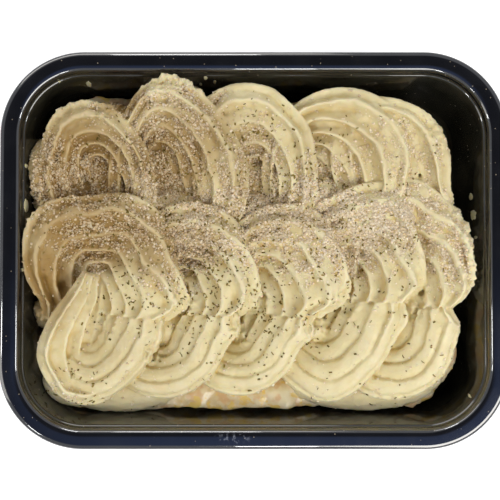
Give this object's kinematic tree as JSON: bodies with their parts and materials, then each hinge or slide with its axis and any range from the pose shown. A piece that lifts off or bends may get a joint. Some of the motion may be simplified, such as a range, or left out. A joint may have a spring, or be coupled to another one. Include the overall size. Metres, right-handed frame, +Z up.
{
  "type": "fish pie in a tray",
  "caption": "Fish pie in a black ready-meal tray: mashed potato piped in rows of overlapping ridged swirls over a creamy filling, with breadcrumbs and chopped parsley.",
  "frame": {"origin": "centre of the tray's footprint, on the surface it stands on", "axes": "+X along the long side, +Y to the back row of piping, +Z up"},
  "size_m": [0.228, 0.178, 0.0473],
  "materials": {
    "tray": "black moulded plastic with a soft gloss",
    "filling": "wet creamy sauce",
    "mash": "moist, smooth, slightly translucent",
    "breadcrumbs": "dry and rough",
    "parsley": "dry flakes"
  },
  "bodies": {
    "root": {"tray": "tray", "filling": "filling", "mash": "mash"}
  },
  "joints": []
}
